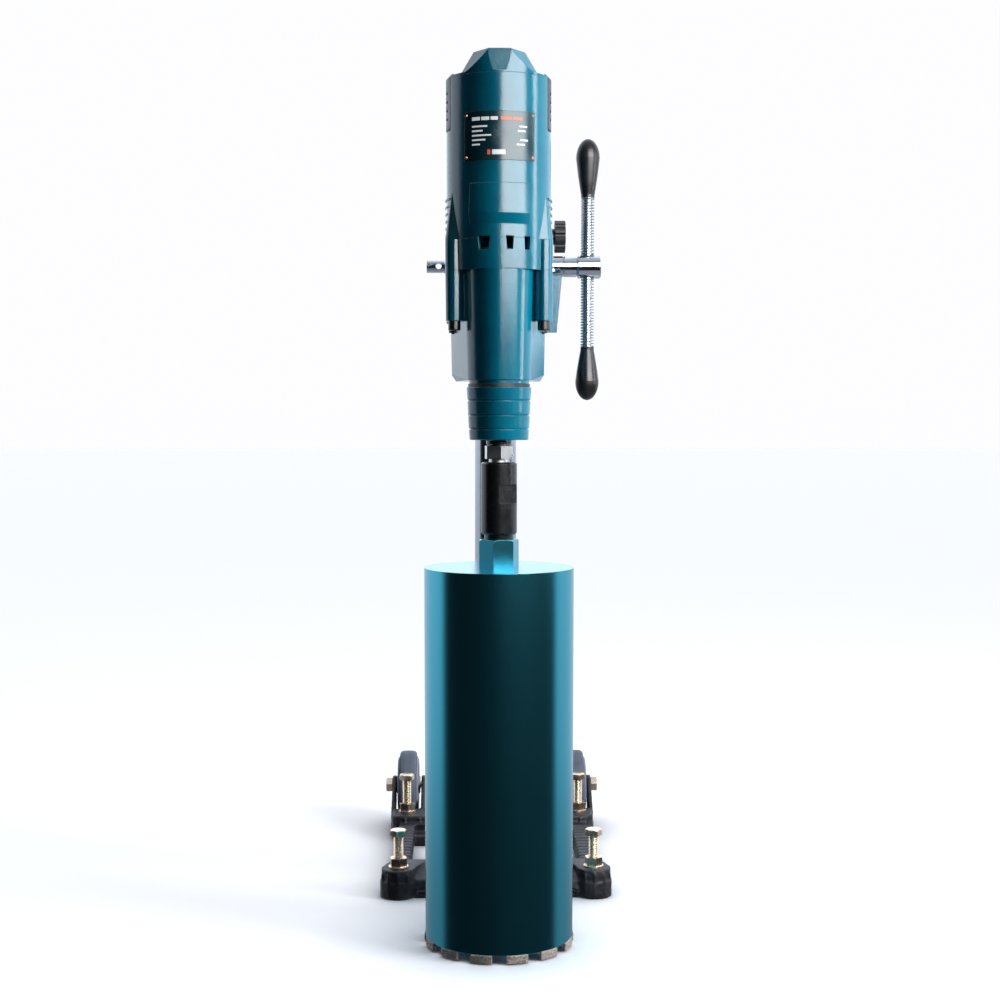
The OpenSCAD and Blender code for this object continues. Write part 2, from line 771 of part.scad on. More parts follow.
module brush_holders() {
  color([0.75, 0.60, 0.30]) rig() on_motor() for (side = [0, 1]) mirror([side, 0, 0])
    translate([16, 0, 882]) {
      translate([0, -4, -5]) cube([8, 8, 10]);
      translate([8, 0, 0]) along_x() cylinder(r = 8, h = motor_r - 26.4);
    }
}

module water_valve() {
  color([0.78, 0.64, 0.36]) rig() translate([0, 0, water_z]) {
    translate([0, 31, 0]) along_y() ring(5, 3, 6);
    difference() {
      union() {
        translate([0, 37, 0]) along_y() cylinder(r = 7, h = 12);
        translate([0, 49, 0]) along_y() rotate(30) cylinder(r = 9, h = 18, $fn = 6);
        translate([0, 67, 0]) along_y() cylinder(r = 5, h = 10);
        translate([-9, 77, -9]) cube([18, 17, 18]);
        translate([-33, 85, 0]) along_x() cylinder(r = 6, h = 25);
        translate([0, 58, 0]) cylinder(r = 4, h = 9);
      }
      translate([0, 36, 0]) along_y() cylinder(r = 3, h = 49);
      translate([-34, 85, 0]) along_x() cylinder(r = 3, h = 34);
    }
  }
}

module water_lever() {
  reach = 32.6;
  color(plastic_black) rig() translate([0, 58, water_z + 9.2]) {
    cylinder(r = 5, h = 4);
    translate([0, -3.5, 1]) cube([reach, 7, 2.4]);
    translate([reach, 0, 1]) cylinder(r = 3.5, h = 2.4);
  }
}

module switch_box() {
  color(plastic_black) rig() difference() {
    translate([-24, 66, 812]) cube([48, 36, 76]);
    on_motor() translate([0, 0, 800]) cylinder(r = motor_r + eps, h = 100);
    translate([-8, 92, 852]) cube([16, 14, 24]);
    translate([-25, gland_y, gland_z]) along_x() cylinder(r = 6, h = 10);
    translate([-18, 80, 818]) cube([36, 14, 60]);
  }
}

module cable_gland() {
  color(plastic_black) rig() translate([-24, gland_y, gland_z]) rotate([0, -90, 0]) difference() {
    union() {
      cylinder(r = 10, h = 8, $fn = 6);
      translate([0, 0, 8]) cylinder(r1 = 8.5, r2 = 7, h = 8);
    }
    translate([0, 0, -1]) cylinder(r = 4.5, h = 20);
  }
}

module switch_button() {
  color([0.7, 0.1, 0.08]) rig() translate([0, 98, 864]) {
    translate([-7.6, -1.5, -11.6]) cube([15.2, 7.5, 23.2]);
  }
}

// Clamp screw with a fluted knob that locks the carriage on the rack.
module lock_knob() {
  flutes = 10;
  knob_r = 18.5;
  color(plastic_black) rig() translate([0, lock_y, lock_z]) {
    translate([68.5, 0, 0]) along_x() difference() {
      cylinder(r = knob_r, h = 12.2);
      for (i = [0 : flutes - 1]) rotate(i * 360 / flutes) translate([knob_r + 0.8, 0, -1]) cylinder(r = 3, h = 14);
    }
    translate([60.5, 0, 0]) along_x() cylinder(r = 9.2, h = 8);
    translate([9, 0, 0]) along_x() cylinder(r = 4, h = 51.5);
  }
}

// ---------- spindle line ----------

module spindle() {
  hex_af = 28.4;
  hex_h = 14;
  color(steel) rig() difference() {
    union() {
      translate([0, 0, spindle_nose_z]) cylinder(r = 10.9, h = hex_z - spindle_nose_z);
      translate([0, 0, hex_z]) rotate(36.75) cylinder(r = hex_af / sqrt(3), h = hex_h, $fn = 6);
      translate([0, 0, hex_z + hex_h]) cylinder(r = spindle_r, h = 634 - hex_z - hex_h);
      translate([0, 0, 634]) cylinder(r = 9, h = gear_b_z + gear_b_h + 4 - 634);
      translate([0, 0, 662]) cylinder(r = 5, h = 29);
    }
    translate([0, 0, spindle_nose_z - 1]) cylinder(r = 4, h = 90);
    translate([-20, 0, water_z]) along_x() cylinder(r = 2.5, h = 40);
  }
}

module spindle_gear() {
  color(steel) rig() translate([0, 0, gear_b_z]) difference() {
    linear_extrude(gear_b_h) rotate(90) gear_outline(module_b, spindle_teeth);
    translate([0, 0, -1]) cylinder(r = 9, h = gear_b_h + 2);
  }
}

module spindle_ring() {
  color(plastic_black) rig() {
    translate([0, 0, 546]) ring(12.6, spindle_r, 1.4);
    translate([0, 0, ring_z + 0.2]) ring(13.7, spindle_r, 4.2);
  }
}

module adapter() {
  r = adapter_d / 2;
  thread_r = thread_d / 2;
  edge = 1.8;
  flat = 15.2;
  color(oiled_black) rig() difference() {
    rotate_extrude() polygon([
      [6, 421], [thread_r - 1, 421], [thread_r, 422.5], [thread_r, adapter_z],
      [r - edge, adapter_z], [r, adapter_z + edge], [r, adapter_top - edge], [r - edge, adapter_top],
      [11, adapter_top], [11, 500], [6, 500]
    ]);
    rotate(37) for (side = [-1, 1]) translate([0, side * (flat + 10), 494.7]) cube([60, 20, 20], center = true);
  }
}

module bit_hub() {
  color(deep_teal) rig() rotate(13.2) difference() {
    union() {
      translate([0, 0, bit_top]) intersection() {
        cylinder(r = hub_af / sqrt(3), h = hub_top - bit_top, $fn = 6);
        rotate(17) cylinder(r1 = 60, r2 = hub_af / 2 + 0.8, h = hub_top - bit_top);
      }
      translate([0, 0, bit_top - plate_t]) cylinder(r = 12, h = plate_t);
    }
    translate([0, 0, bit_top + 5]) cylinder(r = thread_d / 2 + 0.1, h = 40);
    translate([0, 0, bit_top - plate_t - 1]) cylinder(r = 6, h = 40);
  }
}

module bit_tube() {
  color(deep_teal) rig() difference() {
    translate([0, 0, tube_bottom]) cylinder(r = bit_r, h = bit_top - tube_bottom);
    translate([0, 0, tube_bottom - 1]) cylinder(r = bit_r - bit_wall, h = bit_top - plate_t - tube_bottom + 1);
    translate([0, 0, bit_top - plate_t - 1]) cylinder(r = 12, h = plate_t + 2);
  }
}

module bit_segments() {
  span = segment_len / segment_r * 180 / PI;
  color([0.55, 0.52, 0.48]) rig() for (i = [0 : segment_count - 1])
    rotate(segment_phase - 90 + i * 360 / segment_count - span / 2) rotate_extrude(angle = span)
      translate([bit_r - bit_wall - 0.6, segment_gap]) square([bit_wall + 0.6 + segment_proud, segment_h]);
}

// ---------- gear train ----------

module idler_shaft() {
  color(steel) rig() translate([0, idler_y, 0]) {
    translate([0, 0, 625]) cylinder(r = 4, h = 15);
    translate([0, 0, gear_b_z - 1]) linear_extrude(gear_b_h + 3) rotate(15)
      gear_outline(module_b, idler_pinion_teeth);
    translate([0, 0, gear_b_z + gear_b_h + 2]) cylinder(r = 4, h = 32);
  }
}

module idler_gear() {
  color(steel) rig() translate([0, idler_y, gear_a_z]) difference() {
    linear_extrude(gear_a_h) gear_outline(module_a, idler_gear_teeth);
    translate([0, 0, -1]) cylinder(r = 4, h = gear_a_h + 2);
  }
}

module armature_shaft() {
  color(steel) rig() on_motor() {
    translate([0, 0, gear_a_z - 1]) linear_extrude(gear_a_h + 2) rotate(15)
      gear_outline(module_a, armature_teeth);
    translate([0, 0, gear_a_z + gear_a_h + 1]) cylinder(r = 4, h = 20);
    translate([0, 0, 696]) cylinder(r = 6, h = shaft_top - 696);
  }
}

module armature_core() {
  slots = 12;
  color(steel) rig() on_motor() {
    translate([0, 0, 786]) difference() {
      cylinder(r = 25, h = 64);
      for (i = [0 : slots - 1]) rotate(i * 360 / slots) translate([22, -1.5, -1]) cube([5, 3, 66]);
      translate([0, 0, -1]) cylinder(r = 6, h = 66);
    }
    color(copper) translate([0, 0, 775]) ring(22, 6, 11);
    color(copper) translate([0, 0, 850]) ring(22, 6, 12);
  }
}

module commutator() {
  bars = 24;
  color(copper) rig() on_motor() translate([0, 0, 868]) difference() {
    cylinder(r = 15.2, h = 24);
    for (i = [0 : bars - 1]) rotate(i * 360 / bars) translate([14.2, -0.3, 4]) cube([3, 0.6, 30]);
    translate([0, 0, -1]) cylinder(r = 6, h = 30);
  }
}

module cooling_fan() {
  blades = 9;
  color(casting_black) rig() on_motor() translate([0, 0, 738]) difference() {
    union() {
      cylinder(r = 44, h = 2.5);
      cylinder(r = 11, h = 18);
      for (i = [0 : blades - 1]) rotate(i * 360 / blades) translate([14, -1, 0]) cube([29, 2, 18]);
    }
    translate([0, 0, -1]) cylinder(r = 6, h = 30);
  }
}

// ---------- crank ----------

module pinion_shaft() {
  stub_x = -80.6;
  stub_len = 22;
  color(steel) rig() translate([0, pinion_y, pinion_z]) difference() {
    union() {
      translate([stub_x, 0, 0]) along_x() cylinder(r = stub_r, h = stub_len);
      translate([stub_x + stub_len - 2, 0, 0]) along_x() cylinder(r1 = stub_r, r2 = 9.9, h = 2);
      translate([stub_x + stub_len, 0, 0]) along_x() cylinder(r = shaft_r, h = 88 - stub_x - stub_len);
      translate([-12, 0, 0]) along_x() linear_extrude(24) gear_outline(rack_module, pinion_teeth, 20);
    }
    translate([-66.8, -20, 0]) along_y() cylinder(r = 3.5, h = 40);
  }
}

module crank_hub() {
  color(chrome) rig() translate([0, pinion_y, pinion_z]) difference() {
    translate([hub_x, 0, 0]) along_x() rotate_extrude() polygon([
      [0, 24], [shaft_r + eps, 24], [shaft_r + eps, 0], [11.5, 0], [12.1, 0.6], [12.1, 13], [11.2, 13.4],
      [11.2, 14], [11.9, 14.5], [11.9, 28.5], [11, 29], [11, 29.6], [hub_r - 0.6, 30.2], [hub_r, 31],
      [hub_r, 56], [hub_r - 1, 57], [0, 57]
    ]);
    translate([handle_x, 0, -40]) cylinder(r = handle_r + slip, h = 80);
    translate([hub_x + 2, -20, -4.5]) along_y() cylinder(r = 1.8, h = 11);
  }
}

module at_handle() {
  rig() translate([handle_x, pinion_y, handle_mid]) children();
}

module handle_rod() {
  rod_len = handle_len - 12;
  color(chrome) at_handle() translate([0, 0, -rod_len / 2]) cylinder(r = handle_r, h = rod_len);
}

// Profile of a grip of one length, widest near its tip at z = 0 and narrowing to its neck.
module grip_profile(len) {
  wide = 13.7;
  neck = 7.9;
  tip = 22;
  steps = 12;
  polygon(concat(
    [[0, -len]], [[neck, -len]],
    [for (i = [0 : steps]) let (t = i / steps)
      [neck + (wide - neck) * (t + 0.25 * t * (1 - t)), -len + 3 + (len - tip - 3) * t]],
    [for (i = [1 : steps]) let (a = 90 * i / steps) [wide * cos(a), -tip + tip * sin(a)]]
  ));
}

module handle_grips() {
  color(plastic_black) at_handle() for (end = [0, 1]) mirror([0, 0, end]) difference() {
    translate([0, 0, handle_len / 2]) rotate_extrude() grip_profile(end == 0 ? upper_grip : lower_grip);
    cylinder(r = handle_r, h = (handle_len - 12) / 2);
  }
}

module spring_sleeve(from, to) {
  color(chrome) rig() translate([handle_x, pinion_y, from]) ring(8, 6.4, to - from);
}

module handle_spring_upper() {
  spring_sleeve(pinion_z + hub_r + 0.4, handle_mid + handle_len / 2 - upper_grip - 0.2);
}

module handle_spring_lower() {
  spring_sleeve(handle_mid - handle_len / 2 + lower_grip + 0.2, pinion_z - hub_r - 0.4);
}

base_casting();
column_tube();
column_foot();
foot_bolts();
column_rack();
column_cap();
jack_nuts();
axle_bolts();
left_tyre();
left_wheel_hub();
right_tyre();
right_wheel_hub();
jack_bolt_front_left();
jack_bolt_front_right();
jack_bolt_rear_left();
jack_bolt_rear_right();
carriage_casting();
column_bushes();
pinion_bushes();
motor_mount();
mount_bolts();
motor_housing();
top_cap();
side_covers();
nameplate();
nameplate_rivets();
vent_ring();
gearbox_housing();
gearbox_screws();
bearing_plate();
ball_bearings();
nose_collar();
nose_seal();
field_core();
brush_holders();
water_valve();
switch_box();
cable_gland();
water_lever();
switch_button();
lock_knob();
spindle();
spindle_gear();
spindle_ring();
adapter();
bit_hub();
bit_tube();
bit_segments();
idler_shaft();
idler_gear();
armature_shaft();
armature_core();
commutator();
cooling_fan();
pinion_shaft();
crank_hub();
handle_rod();
handle_grips();
handle_spring_upper();
handle_spring_lower();
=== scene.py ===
"""Core drill rig: materials, fine geometry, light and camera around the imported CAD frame."""
import json
import math

import bpy
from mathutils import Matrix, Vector, noise


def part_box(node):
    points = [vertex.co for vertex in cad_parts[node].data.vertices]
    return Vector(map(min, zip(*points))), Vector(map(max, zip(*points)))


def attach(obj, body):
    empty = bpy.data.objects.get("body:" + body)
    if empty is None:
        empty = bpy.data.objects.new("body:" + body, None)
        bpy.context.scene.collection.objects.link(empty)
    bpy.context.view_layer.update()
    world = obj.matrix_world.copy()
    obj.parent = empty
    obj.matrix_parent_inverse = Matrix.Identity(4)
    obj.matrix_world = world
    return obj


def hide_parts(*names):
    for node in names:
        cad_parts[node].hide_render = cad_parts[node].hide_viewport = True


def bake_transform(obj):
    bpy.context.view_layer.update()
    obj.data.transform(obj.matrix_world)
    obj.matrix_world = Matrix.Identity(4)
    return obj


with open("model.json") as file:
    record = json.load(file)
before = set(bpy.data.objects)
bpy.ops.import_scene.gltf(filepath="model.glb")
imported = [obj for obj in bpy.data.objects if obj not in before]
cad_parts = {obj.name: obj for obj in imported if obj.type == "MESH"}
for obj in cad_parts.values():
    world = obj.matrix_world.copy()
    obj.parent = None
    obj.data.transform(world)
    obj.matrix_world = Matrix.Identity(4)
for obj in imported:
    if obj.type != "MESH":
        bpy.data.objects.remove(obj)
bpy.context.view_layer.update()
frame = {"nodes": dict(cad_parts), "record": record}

MM = 0.001
NODES = frame["nodes"]


def middle(node):
    """Centre of a CAD node's box."""
    low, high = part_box(node)
    return (Vector(low) + Vector(high)) / 2


DRILL = middle("bit_tube")
MOTOR = middle("field_core")
BOX = {name: tuple(Vector(corner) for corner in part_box(name)) for name in NODES}


# ---------------------------------------------------------------- camera and light

CAMERA_HEIGHT = 0.5737
CAMERA_DISTANCE = 1.727
CAMERA_LEFT = 0.035
CAMERA_PITCH = math.radians(4.952)
SENSOR = 36
LENS = 57.66
SHIFT_X = 0.001
SHIFT_Y = 0.0587


def make_camera():
    data = bpy.data.cameras.new("camera")
    data.sensor_width = SENSOR
    data.lens = LENS
    data.shift_x = SHIFT_X
    data.shift_y = SHIFT_Y
    data.clip_end = 50
    camera = bpy.data.objects.new("camera", data)
    bpy.context.collection.objects.link(camera)
    camera.location = (DRILL.x - CAMERA_LEFT, DRILL.y - CAMERA_DISTANCE, CAMERA_HEIGHT)
    turn = math.atan2(CAMERA_LEFT, CAMERA_DISTANCE)
    camera.rotation_euler = (math.pi / 2 - CAMERA_PITCH, 0, -turn)
    bpy.context.scene.camera = camera


def area_light(name, azimuth, distance, low, high, width, power, colour=(1, 1, 1)):
    """Softbox on the drill axis' circle; azimuth is counted from the front towards +X."""
    data = bpy.data.lights.new(name, "AREA")
    data.shape = "RECTANGLE"
    data.size = width
    data.size_y = high - low
    data.energy = power
    data.color = colour
    light = bpy.data.objects.new(name, data)
    bpy.context.collection.objects.link(light)
    a = math.radians(azimuth)
    centre = (low + high) / 2
    light.location = (DRILL.x + distance * math.sin(a), DRILL.y - distance * math.cos(a), centre)
    light.rotation_euler = (math.pi / 2, 0, a)
    return light


def level_ramp(tree, height, stops):
    """Brightness against the height of a direction, -1 straight down to 1 straight up."""
    ramp = tree.nodes.new("ShaderNodeValToRGB")
    elements = ramp.color_ramp.elements
    while len(elements) < len(stops):
        elements.new(0.5)
    for element, (level, strength) in zip(elements, stops):
        element.position = (level + 1) / 2
        element.color = (strength / WORLD_MAX,) * 3 + (1,)
    tree.links.new(height, ramp.inputs["Fac"])
    return ramp.outputs["Color"]


def map_range(tree, value, low, high, to_low, to_high, kind="LINEAR"):
    """Value carried from one range to another and held at its ends."""
    node = tree.nodes.new("ShaderNodeMapRange")
    node.interpolation_type = kind
    for key, number in (("From Min", low), ("From Max", high), ("To Min", to_low), ("To Max", to_high)):
        node.inputs[key].default_value = number
    tree.links.new(value, node.inputs["Value"])
    return node.outputs[0]


# Highest brightness in the two tables, and the share of the world that diffuse surfaces take.
WORLD_MAX = 3.0
WORLD_FILL = 0.25
# Each pair is the height of a direction and the brightness seen there.
BEHIND = [
    (-1, 0.8), (-0.6, 0.75), (-0.45, 0.35), (-0.28, 0.37), (-0.2, 0.89),
    (-0.08, 0.95), (0.02, 1.6), (0.35, 1.8), (1, 1.6)
]
IN_FRONT = [(-1, 0.45), (-0.7, 0.4), (-0.6, 0.015), (0.3, 0.015), (0.6, 0.25), (1, 0.9)]
WORLD_TINT = (0.82, 0.90, 1.0, 1)


def make_world():
    """White surroundings behind and above the rig, dark ones in front of it."""
    world = bpy.data.worlds.new("studio")
    bpy.context.scene.world = world
    world.use_nodes = True
    world.cycles.sampling_method = "NONE"
    tree = world.node_tree
    tree.nodes.clear()
    link = tree.links.new
    out = tree.nodes.new("ShaderNodeOutputWorld")
    place = tree.nodes.new("ShaderNodeTexCoord")
    split = tree.nodes.new("ShaderNodeSeparateXYZ")
    link(place.outputs["Generated"], split.inputs[0])
    height = map_range(tree, split.outputs["Z"], -1, 1, 0, 1)
    side = map_range(tree, split.outputs["Y"], -0.04, 0.22, 0, 1, "SMOOTHSTEP")
    blend = tree.nodes.new("ShaderNodeMix")
    blend.data_type = "RGBA"
    link(side, blend.inputs["Factor"])
    link(level_ramp(tree, height, IN_FRONT), blend.inputs[6])
    link(level_ramp(tree, height, BEHIND), blend.inputs[7])
    tint = tree.nodes.new("ShaderNodeMix")
    tint.data_type = "RGBA"
    tint.blend_type = "MULTIPLY"
    tint.inputs["Factor"].default_value = 1
    link(blend.outputs[2], tint.inputs[6])
    tint.inputs[7].default_value = WORLD_TINT
    surroundings = tree.nodes.new("ShaderNodeBackground")
    link(tint.outputs[2], surroundings.inputs["Color"])
    ray = tree.nodes.new("ShaderNodeLightPath")
    strength = map_range(tree, ray.outputs["Is Diffuse Ray"], 0, 1, WORLD_MAX, WORLD_MAX * WORLD_FILL)
    link(strength, surroundings.inputs["Strength"])
    backdrop = tree.nodes.new("ShaderNodeBackground")
    backdrop.inputs["Color"].default_value = (0.985, 0.985, 1.0, 1)
    mix = tree.nodes.new("ShaderNodeMixShader")
    link(ray.outputs["Is Camera Ray"], mix.inputs[0])
    link(surroundings.outputs[0], mix.inputs[1])
    link(backdrop.outputs[0], mix.inputs[2])
    link(mix.outputs[0], out.inputs["Surface"])


FLOOR_GLOW = 0.73


def make_floor():
    """Pale floor that glows white in the open, with painted shade where the rig closes off the sky."""
    size = 30
    shade_reach = 0.15
    mesh = bpy.data.meshes.new("floor")
    corners = [(-size, -size, 0), (size, -size, 0), (size, size, 0), (-size, size, 0)]
    mesh.from_pydata(corners, [], [(0, 1, 2, 3)])
    floor = bpy.data.objects.new("floor", mesh)
    bpy.context.collection.objects.link(floor)
    material = bpy.data.materials.new("floor")
    material.use_nodes = True
    shader = material.node_tree.nodes["Principled BSDF"]
    shader.inputs["Base Color"].default_value = (0.86, 0.87, 0.93, 1)
    shader.inputs["Roughness"].default_value = 0.9
    shader.inputs["Emission Color"].default_value = (0.97, 0.97, 1.0, 1)
    tree = material.node_tree
    open_sky = tree.nodes.new("ShaderNodeAmbientOcclusion")
    open_sky.samples = 8
    open_sky.inputs["Distance"].default_value = shade_reach
    # Painted shade: the floor's glow falls off where the ambient occlusion finds the rig close by.
    painted_glow = map_range(tree, open_sky.outputs["AO"], 0.48, 0.97, 0.0, FLOOR_GLOW)
    tree.links.new(painted_glow, shader.inputs["Emission Strength"])
    mesh.materials.append(material)
    floor.visible_glossy = False
    floor.visible_diffuse = False


make_camera()
make_world()
make_floor()
# The key and the strip only make highlights; the fill only lights diffuse surfaces.
area_light("key", 32, 1.5, 0.742, 1.9, 1.53, 67).visible_diffuse = False
area_light("strip", 85, 1.6, 0.5, 1.5, 0.22, 8).visible_diffuse = False
area_light("fill", 66, 1.8, 0.3, 1.7, 0.9, 42).visible_glossy = False


# ---------------------------------------------------------------- materials

def new_material(name):
    material = bpy.data.materials.new(name)
    material.use_nodes = True
    return material, material.node_tree, material.node_tree.nodes["Principled BSDF"]


def add(tree, kind, **values):
    """New shader node with its sockets or properties set by name."""
    node = tree.nodes.new(kind)
    for key, value in values.items():
        if key in node.inputs:
            node.inputs[key].default_value = value
        else:
            setattr(node, key, value)
    return node


def object_place(tree):
    return add(tree, "ShaderNodeTexCoord").outputs["Object"]


def noise_field(tree, scale, detail=3, roughness=0.5, stretch=None):
    """Noise of a size given in metres per feature."""
    texture = add(tree, "ShaderNodeTexNoise")
    texture.inputs["Scale"].default_value = 1 / scale
    texture.inputs["Detail"].default_value = detail
    texture.inputs["Roughness"].default_value = roughness
    place = object_place(tree)
    if stretch:
        mapping = add(tree, "ShaderNodeMapping")
        mapping.inputs["Scale"].default_value = stretch
        tree.links.new(place, mapping.inputs["Vector"])
        place = mapping.outputs[0]
    tree.links.new(place, texture.inputs["Vector"])
    return texture.outputs["Fac"]


def mix_colour(tree, factor, a, b):
    node = add(tree, "ShaderNodeMix", data_type="RGBA")
    tree.links.new(factor, node.inputs["Factor"])
    for socket, value in ((node.inputs[6], a), (node.inputs[7], b)):
        if isinstance(value, tuple):
            socket.default_value = (*value, 1)
        else:
            tree.links.new(value, socket)
    return node.outputs[2]


def bump(tree, shader, height, strength, distance, below=None):
    node = add(tree, "ShaderNodeBump")
    node.inputs["Strength"].default_value = strength
    node.inputs["Distance"].default_value = distance
    tree.links.new(height, node.inputs["Height"])
    if below is not None:
        tree.links.new(below, node.inputs["Normal"])
    tree.links.new(node.outputs[0], shader.inputs["Normal"])
    return node.outputs[0]


def soft_edges(tree, radius):
    node = add(tree, "ShaderNodeBevel", samples=4)
    node.inputs["Radius"].default_value = radius
    return node.outputs[0]


def crinkle_paint(name, colour, deep, grain=0.0011, strength=0.35, roughness=0.34, metallic=0.0):
    """Stove-enamelled crinkle paint: fine leathery grain, slight colour drift, thin on edges."""
    material, tree, shader = new_material(name)
    drift = noise_field(tree, 0.03, 2)
    shade = map_range(tree, drift, 0.35, 0.65, 0, 1)
    tree.links.new(mix_colour(tree, shade, colour, deep), shader.inputs["Base Color"])
    fine = noise_field(tree, grain, 4, 0.6)
    broad = noise_field(tree, grain * 3, 2)
    total = add(tree, "ShaderNodeMath", operation="ADD")
    tree.links.new(fine, total.inputs[0])
    tree.links.new(broad, total.inputs[1])
    bump(tree, shader, total.outputs[0], strength, 0.00035, soft_edges(tree, 0.0009))
    dull = map_range(tree, fine, 0.3, 0.7, roughness - 0.03, roughness + 0.05)
    tree.links.new(dull, shader.inputs["Roughness"])
    shader.inputs["Metallic"].default_value = metallic
    shader.inputs["Specular IOR Level"].default_value = 0.5
    return material


def satin_paint(name, colour, deep, metallic=0.75, roughness=0.26):
    """Smooth metallic-flake paint of the core bit."""
    material, tree, shader = new_material(name)
    drift = noise_field(tree, 0.05, 2, stretch=(1, 1, 0.25))
    shade = map_range(tree, drift, 0.3, 0.7, 0, 1)
    tree.links.new(mix_colour(tree, shade, colour, deep), shader.inputs["Base Color"])
    shader.inputs["Metallic"].default_value = metallic
    orange_peel = noise_field(tree, 0.0016, 2)
    dull = map_range(tree, orange_peel, 0.3, 0.7, roughness - 0.01, roughness + 0.02)
    tree.links.new(dull, shader.inputs["Roughness"])
    bump(tree, shader, orange_peel, 0.02, 0.0001, soft_edges(tree, 0.0006))
    return material


def metal(name, colour, roughness, grain=None, spread=0.08, tint=None, strength=0.08, metallic=1.0):
    """Bare, plated or blackened metal, with brushing along `grain` and finger-dulled patches."""
    material, tree, shader = new_material(name)
    shader.inputs["Metallic"].default_value = metallic
    dull = noise_field(tree, 0.012, 4, 0.6)
    if tint:
        patches = map_range(tree, dull, 0.40, 0.62, 0, 1)
        tree.links.new(mix_colour(tree, patches, colour, tint), shader.inputs["Base Color"])
    else:
        darker = tuple(c * 0.86 for c in colour)
        tree.links.new(mix_colour(tree, dull, colour, darker), shader.inputs["Base Color"])
    worn = map_range(tree, dull, 0.35, 0.7, roughness, roughness + spread)
    tree.links.new(worn, shader.inputs["Roughness"])
    lines = noise_field(tree, 0.0006, 3, 0.6, stretch=grain or (1, 1, 1))
    bump(tree, shader, lines, strength, 0.00006, soft_edges(tree, 0.0005))
    return material


def plastic(name, colour, roughness=0.42, grain=0.0005, strength=0.12):
    material, tree, shader = new_material(name)
    drift = noise_field(tree, 0.02, 3)
    pale = tuple(min(1, c * 1.5 + 0.004) for c in colour)
    faded = map_range(tree, drift, 0.4, 0.8, 0, 1)
    tree.links.new(mix_colour(tree, faded, colour, pale), shader.inputs["Base Color"])
    pores = noise_field(tree, grain, 3)
    dull = map_range(tree, drift, 0.3, 0.7, roughness - 0.05, roughness + 0.08)
    tree.links.new(dull, shader.inputs["Roughness"])
    bump(tree, shader, pores, strength, 0.0001, soft_edges(tree, 0.0006))
    return material


def cast_black(name):
    """Rough sand casting under black structure paint, greyed by dust in patches."""
    material, tree, shader = new_material(name)
    coarse = noise_field(tree, 0.0016, 5, 0.65)
    dust = noise_field(tree, 0.02, 4, 0.6)
    dusty = map_range(tree, dust, 0.45, 0.75, 0, 1)
    colour = mix_colour(tree, dusty, (0.012, 0.013, 0.018), (0.045, 0.048, 0.06))
    tree.links.new(colour, shader.inputs["Base Color"])
    tree.links.new(map_range(tree, dust, 0.3, 0.7, 0.42, 0.62), shader.inputs["Roughness"])
    bump(tree, shader, coarse, 0.6, 0.0007, soft_edges(tree, 0.0012))
    return material


def grit(name):
    """Sintered segment: grey matrix with bright and dark diamond grit."""
    material, tree, shader = new_material(name)
    cells = add(tree, "ShaderNodeTexVoronoi")
    cells.inputs["Scale"].default_value = 1 / 0.0011
    tree.links.new(object_place(tree), cells.inputs["Vector"])
    bright = map_range(tree, cells.outputs["Distance"], 0.2, 0.6, 1, 0)
    rust = noise_field(tree, 0.006, 4, 0.6)
    rusty = map_range(tree, rust, 0.45, 0.65, 0, 1)
    base = mix_colour(tree, rusty, (0.26, 0.23, 0.20), (0.42, 0.22, 0.20))
    tree.links.new(mix_colour(tree, bright, base, (1.0, 0.95, 0.88)), shader.inputs["Base Color"])
    shader.inputs["Metallic"].default_value = 0.1
    shader.inputs["Roughness"].default_value = 0.5
    bump(tree, shader, cells.outputs["Distance"], 0.8, 0.0004)
    return material


TEAL = crinkle_paint("teal_paint", (0.000, 0.250, 0.385), (0.000, 0.210, 0.335), 0.0013, 0.24, 0.13)
BIT = satin_paint("bit_paint", (0.065, 0.40, 0.53), (0.055, 0.36, 0.48), 0.97, 0.2)
CASTING = cast_black("black_casting")
CHROME = metal("chrome", (0.60, 0.63, 0.68), 0.09, spread=0.06)
SPRING = metal("spring_wire", (0.42, 0.45, 0.50), 0.2, spread=0.06)
# A darker copy of the chrome: painted shade that tones down the column's and handle rod's reflections
# of the bright surroundings.
SHADED_CHROME = metal("shaded_chrome", (0.36, 0.39, 0.43), 0.16, spread=0.05)
STEEL = metal("steel", (0.55, 0.57, 0.60), 0.26, grain=(1, 1, 8))
LAMINATIONS = metal("laminations", (0.30, 0.31, 0.33), 0.4, grain=(1, 1, 20), strength=0.3)
ALUMINIUM = metal("aluminium", (0.70, 0.71, 0.73), 0.33)
BEARING = metal("bearing_steel", (0.72, 0.73, 0.76), 0.16)
ZINC = metal("zinc_yellow", (0.82, 0.71, 0.52), 0.22, tint=(0.82, 0.62, 0.50), spread=0.12)
OXIDE = metal(
    "black_oxide", (0.012, 0.012, 0.015), 0.22, grain=(0.05, 0.05, 1), strength=0.3, metallic=0.0)
BRONZE = metal("bronze", (0.60, 0.42, 0.20), 0.3)
BRASS = metal("brass", (0.74, 0.58, 0.30), 0.25)
COPPER = metal("copper", (0.80, 0.42, 0.26), 0.25)
BLACK = plastic("black_plastic", (0.012, 0.012, 0.015))
GRIP = plastic("grip_plastic", (0.009, 0.009, 0.011), 0.30, 0.0007, 0.08)
TYRE = plastic("rubber_grey", (0.13, 0.155, 0.21), 0.62, 0.0008, 0.35)
WHEEL = plastic("wheel_plastic", (0.22, 0.25, 0.31), 0.5)
RED = plastic("red_plastic", (0.45, 0.015, 0.012), 0.3)
GRIT = grit("segment")
PLATE = plastic("nameplate", (0.002, 0.06, 0.085), 0.22, 0.0008, 0.02)

